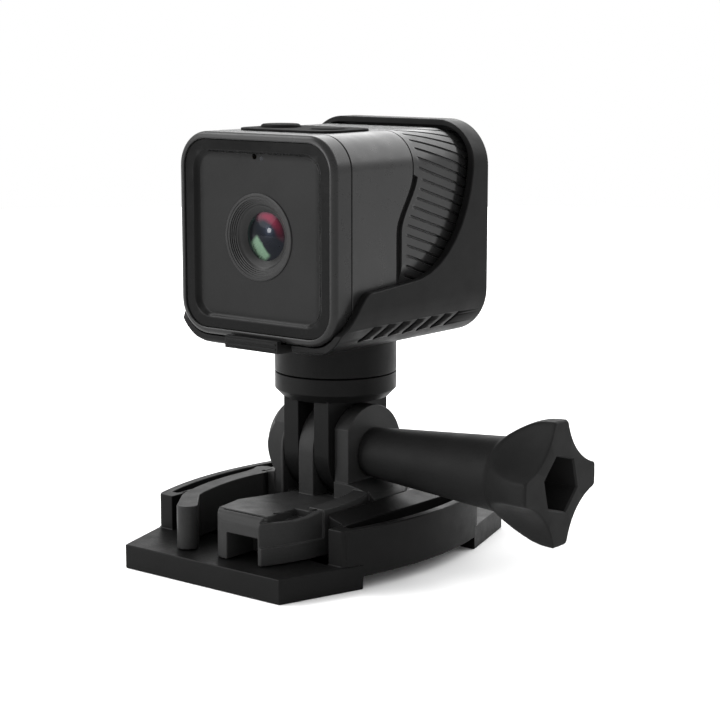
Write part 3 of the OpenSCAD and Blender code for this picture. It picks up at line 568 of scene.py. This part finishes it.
def lens_ring(material):
    """Trim ring with a rounded bead, fine baffle steps and the start of the cone to the glass."""
    low, high = node_box("lens_ring")
    radius, front = high.x, low.y
    bead, step_y = 0.17, front + 0.12
    shoulder = radius, front + 0.19
    profile = [shoulder]
    profile += [(radius - bead + x, front + bead - y) for x, y in arc((0, 0), bead, 0, 90, 5)]
    profile += [(radius - 0.42, front), (radius - 0.5, step_y), (radius - 0.8, step_y)]
    steps, start, end = 4, radius - 0.8, radius - 1.7
    fall = (high.y - step_y) / (start - CONE_R)
    for i in range(steps):
        r, r_next = (start + (end - start) * k / steps for k in (i, i + 1))
        y = step_y + fall * (start - r_next)
        profile += [(r - 0.03, y - 0.02), (r - 0.06, y), (r_next + 0.02, y)]
    collar = radius - 0.4
    profile += [(CONE_R, high.y), (collar, high.y), (collar, shoulder[1])]
    piece("lens_trim", about_lens(profile, 128), material, "camera", "lens_black", "lens_ring")


def lens_barrel(material):
    """Barrel whose mouth carries the cone on down to the glass, with bores for the elements."""
    low, high = node_box("lens_barrel")
    middle, rear = node_box("middle_element"), node_box("rear_element")
    clear = 0.04
    seat = (node_box("front_element")[1].y + middle[0].y) / 2
    step = (middle[1].y + rear[0].y) / 2
    profile = [(high.x, low.y), (CONE_R, low.y), (GLASS_R + 0.02, GLASS_RIM - 0.02)]
    profile += [(r + clear, y) for r, y in
                ((GLASS_R, seat), (middle[1].x, seat), (middle[1].x, step),
                 (rear[1].x, step), (rear[1].x, high.y))]
    profile.append((high.x, high.y))
    piece("barrel", about_lens(profile), material, "camera", "lens_black", "lens_barrel")


def dome(radius, y_rim, rise, thickness, steps=14):
    """Profile of a lens: a cap that rises towards the front by rise, and a flat back."""
    ball = (radius ** 2 + rise ** 2) / (2 * rise)
    pole = 0.02
    face = []
    for i in range(steps + 1):
        r = radius * i / steps
        sag = math.sqrt(ball ** 2 - r ** 2) - (ball - rise)
        face.append((max(r, pole), y_rim - sag))
    return face + [(radius, y_rim + thickness), (pole, y_rim + thickness)]


def lens_glass():
    """The domed front glass, seated at the foot of the barrel's cone."""
    piece("front_lens", about_lens(dome(GLASS_R, GLASS_RIM, GLASS_RISE, 0.5), 96),
          MATERIAL["lens_front"], "camera", "lens_glass", "front_element")


def seam_y(z):
    """The side seam's place along Y at a height: it sweeps back between two upright runs."""
    low_y, sweep, from_z, rise = -0.6, 4.0, 51.5, 9
    return low_y + sweep * smooth((z - from_z) / rise)


def shell_outline(s, gap=0.0):
    """A point of the camera's outline at distance s, clockwise from the middle of the top."""
    half, r = CAM_HALF - gap, CAM_R - gap
    flat_run = CAM_HALF - CAM_R
    bend = CAM_R * math.pi / 2
    whole = 4 * (2 * flat_run + bend)
    s = (s + flat_run) % whole
    side, s = divmod(s, 2 * flat_run + bend)
    if s <= 2 * flat_run:
        x, z = s - flat_run, half
    else:
        a = (s - 2 * flat_run) / CAM_R
        x, z = flat_run + r * math.sin(a), flat_run + r * math.cos(a)
    for _ in range(int(side)):
        x, z = z, -x
    return x, z


def ribbed_shell(material):
    """Rear shell with fine grooves that wind clockwise towards the rear."""
    back = node_box("ribbed_shell")[1].y
    mid_y = 2.0
    whole = 4 * (2 * (CAM_HALF - CAM_R) + CAM_R * math.pi / 2)
    count = 74
    lean, depth = 0.3, 0.3
    across = [0, 0.36, 0.43, 0.5, 0.57, 0.64]
    cut = [0, 0, 0.85, 1, 0.85, 0]
    rows = 64
    wall = 1.3
    wing_z, frame_y = 44.1, 17.4
    sweep_y, sweep_z = 1.3, 63
    low_gap, top_gap, slot_top = 1.3, 0.2, 60.2
    sink, sink_reach = 0.6, 2.4

    def from_cradle(y, z):
        """Distance from a point of the side to the cradle's wing or rear frame."""
        if z > sweep_z:
            return frame_y - y
        if y < sweep_y:
            return z - wing_z
        run, up = frame_y - sweep_y, sweep_z - wing_z
        return (1 - math.hypot((y - sweep_y) / run, (z - sweep_z) / up)) * run

    def front_at(z):
        return seam_y(z) + (low_gap if z < slot_top else top_gap)

    def place(start, t, gap):
        y = mid_y
        for _ in range(6):
            s = start + lean * (y - mid_y)
            z = LENS_Z + shell_outline(s)[1]
            y = front_at(z) + t * (back - front_at(z))
        if gap < wall:
            gap += sink * (1 - smooth(from_cradle(y, z) / sink_reach))
        x, dz = shell_outline(s, gap)
        return (x, y, LENS_Z + dz), y - front_at(z)

    rings = []
    for k in range(count):
        for share, part in zip(across, cut):
            start = (k + share) * whole / count
            ring = []
            for i in range(rows + 1):
                t = i / rows
                _, along = place(start, t, 0)
                fade = smooth((along - 1.15) / 0.5)
                ring.append(place(start, t, depth * part * fade)[0])
            ring += [place(start, t, wall)[0] for t in (1, 0.75, 0.5, 0.25, 0)]
            rings.append(ring)
    piece("ribbed_case", loft(rings), material, "camera", "ribbed_grey",
          "ribbed_shell")


# ---- the thumb screw ----

def thumb_knob(material):
    """Tapered shank that flares into four lobes, with a crisp end face and a hex socket."""
    low, high = node_box("thumb_knob")
    axis_y = (low.y + high.y) / 2
    axis_z = (low.z + high.z) / 2
    start, end, reach = low.x, high.x, (high.z - low.z) / 2
    flare, bore = 33.0, 2.52
    r0, taper = 3.95, 0.0735
    r1 = r0 + taper * (flare - start)
    tip_half, root = 1.75, 6.4
    socket, socket_depth = 7.8, 11.6
    points = 192
    turn = math.radians(45) - math.asin(tip_half / reach)
    tip = (reach * math.cos(turn), reach * math.sin(turn))
    scallop = (tip[0] ** 2 + tip[1] ** 2 - root ** 2) / (2 * (tip[0] - root))

    def lobe(a):
        """Outline radius at an angle: round tips, hollow scallops between them."""
        from_tip = abs((a + math.pi / 4) % (math.pi / 2) - math.pi / 4)
        b = scallop * math.cos(math.pi / 4 - from_tip)
        inside = b * b - scallop ** 2 + (scallop - root) ** 2
        hollow = b - math.sqrt(inside) if inside > 0 else reach
        return soft_min(reach, hollow, 0.35)

    def soft_min(p, q, blend):
        h = min(max(0.5 + 0.5 * (q - p) / blend, 0), 1)
        return q + (p - q) * h - blend * h * (1 - h)

    def ring(x, radius_at):
        made = []
        for i in range(points):
            a = 2 * math.pi * i / points
            r = radius_at(a)
            made.append((x, axis_y + r * math.sin(a), axis_z + r * math.cos(a)))
        return made

    def hexagon(a):
        a = (a + math.radians(15)) % (math.pi / 3) - math.pi / 6
        return socket / 2 / math.cos(a)

    inner_r, shank_steps = 0.25, 12
    rings = [ring(start, lambda a: bore), ring(start, lambda a: r0 - inner_r)]
    for b in (0.5, 1.0, math.pi / 2):
        rings.append(ring(start + inner_r * (1 - math.cos(b)),
                          lambda a, b=b: r0 - inner_r * (1 - math.sin(b))))
    for i in range(1, shank_steps + 1):
        x = start + inner_r + (flare - 0.4 - start - inner_r) * i / shank_steps
        rings.append(ring(x, lambda a, x=x: r0 + taper * (x - start)))
    flare_steps, face_r = 22, 0.3
    for i in range(flare_steps + 1):
        t = i / flare_steps
        x = flare + (end - face_r - flare) * t
        swell = r1 + (reach + 0.25 - r1) * (1 - (1 - t) ** 1.7)
        rings.append(ring(x, lambda a, w=swell: soft_min(w, lobe(a), 0.5)))
    for b in (30, 60, 90):
        off = face_r * (1 - math.cos(math.radians(b)))
        x = end - face_r + face_r * math.sin(math.radians(b))
        rings.append(ring(x, lambda a, off=off: soft_min(reach, lobe(a), 0.5) - off))
    chamfer = 0.25
    rings.append(ring(end, lambda a: hexagon(a) + chamfer))
    rings.append(ring(end - chamfer, hexagon))
    rings.append(ring(end - socket_depth, hexagon))
    rings.append(ring(end - socket_depth, lambda a: bore))
    piece("thumb_grip", loft(rings), material, "thumb_screw", "knob_plastic",
          "thumb_knob")


# ---- CAD nodes refined into finished mouldings ----

def refine(node, name, material, body, slot, width, over=28, keep=None):
    bm = round_edges(solid_of(node), width, over=over, keep=keep)
    piece(name, bm, material, body, slot, node)


MATERIAL = {
    "base_plastic": plastic("base_nylon", 0.0045, 0.42, gloss=0.06),
    "buckle_plastic": plastic("buckle_nylon", 0.017, 0.47, gloss=0.1),
    "knob_plastic": plastic("knob_nylon", 0.0095, 0.5, gloss=0.045),
    "cradle_plastic": plastic("cradle_shell", 0.0058, 0.44, gloss=0.06),
    "swivel_plastic": plastic("swivel_nylon", 0.0045, 0.44, gloss=0.065),
    "shell_grey": plastic("case_grey", 0.011, 0.31, grain_mm=0.11, grain_depth=0.003, gloss=0.24),
    "ribbed_grey": plastic("ribbed_case_grey", 0.011, 0.33, grain_mm=0.11, grain_depth=0.003,
                           gloss=0.24),
    "rim_grey": plastic("rim_grey", 0.011, 0.3, grain_mm=0.1, grain_depth=0.002, gloss=0.18),
    "panel_grey": front_glass("front_panel_gloss"),
    "lens_black": plastic("lens_trim_black", 0.01, 0.4, grain_mm=0.08, grain_depth=0.002,
                          gloss=0.16, wear_and_highlight=0.7),
    "lens_glass": dark_glass("smoked_glass"),
    "lens_front": lens_deep("lens_painted_reflections"),
    "rubber_black": rubber("button_rubber"),
    "steel": metal("zinc_steel", (0.42, 0.43, 0.44, 1), 0.34),
    "brass_part": metal("brass", (0.66, 0.47, 0.2, 1), 0.3),
    "board_green": board("circuit_board"),
    "chip_black": plastic("chip_epoxy", 0.02, 0.55, grain_mm=0.06, grain_depth=0.002),
    "inner_grey": plastic("chassis_grey", 0.12, 0.5),
    "cell_wrap": wrap("cell_wrap"),
}


def finish_cad_nodes():
    """Every CAD node that stays takes the material of its slot in the record."""
    for part in frame["record"]["subparts"]:
        thing = frame["nodes"][part["node"]]
        for place in thing.material_slots:
            place.material = MATERIAL[part["material_slot"]]


make_camera()
make_studio()
finish_cad_nodes()
front_bezel(MATERIAL["rim_grey"])
front_panel(MATERIAL["panel_grey"])
lens_ring(MATERIAL["lens_black"])
lens_barrel(MATERIAL["lens_black"])
lens_glass()
ribbed_shell(MATERIAL["ribbed_grey"])
thumb_knob(MATERIAL["knob_plastic"])
refine("strap_base", "base_plate", MATERIAL["base_plastic"], "base", "base_plastic", 0.18)
refine("buckle_body", "buckle", MATERIAL["buckle_plastic"], "buckle", "buckle_plastic", 0.15)
refine("release_lever", "squeeze_lever", MATERIAL["buckle_plastic"], "lever",
       "buckle_plastic", 0.18, keep=lambda p: p.y < -5)
refine("tilt_fork", "fork", MATERIAL["swivel_plastic"], "tilt_head", "swivel_plastic", 0.12)
refine("pan_disc", "swivel_disc", MATERIAL["swivel_plastic"], "cradle_head",
       "swivel_plastic", 0.12)
refine("cradle", "cradle_shell", MATERIAL["cradle_plastic"], "cradle_head",
       "cradle_plastic", 0.2, keep=lambda p: p.z > 38.4 or p.y < -9 or p.y > 20.5)
refine("latch_tab", "latch", MATERIAL["cradle_plastic"], "latch", "cradle_plastic", 0.06)
refine("mid_shell", "middle_case", MATERIAL["shell_grey"], "camera", "shell_grey", 0.1)
refine("keypad", "button_pad", MATERIAL["rubber_black"], "camera", "rubber_black", 0.12)
refine("record_button", "large_button", MATERIAL["rubber_black"], "record_key",
       "rubber_black", 0.1)
refine("power_button", "small_button", MATERIAL["rubber_black"], "power_key",
       "rubber_black", 0.1)
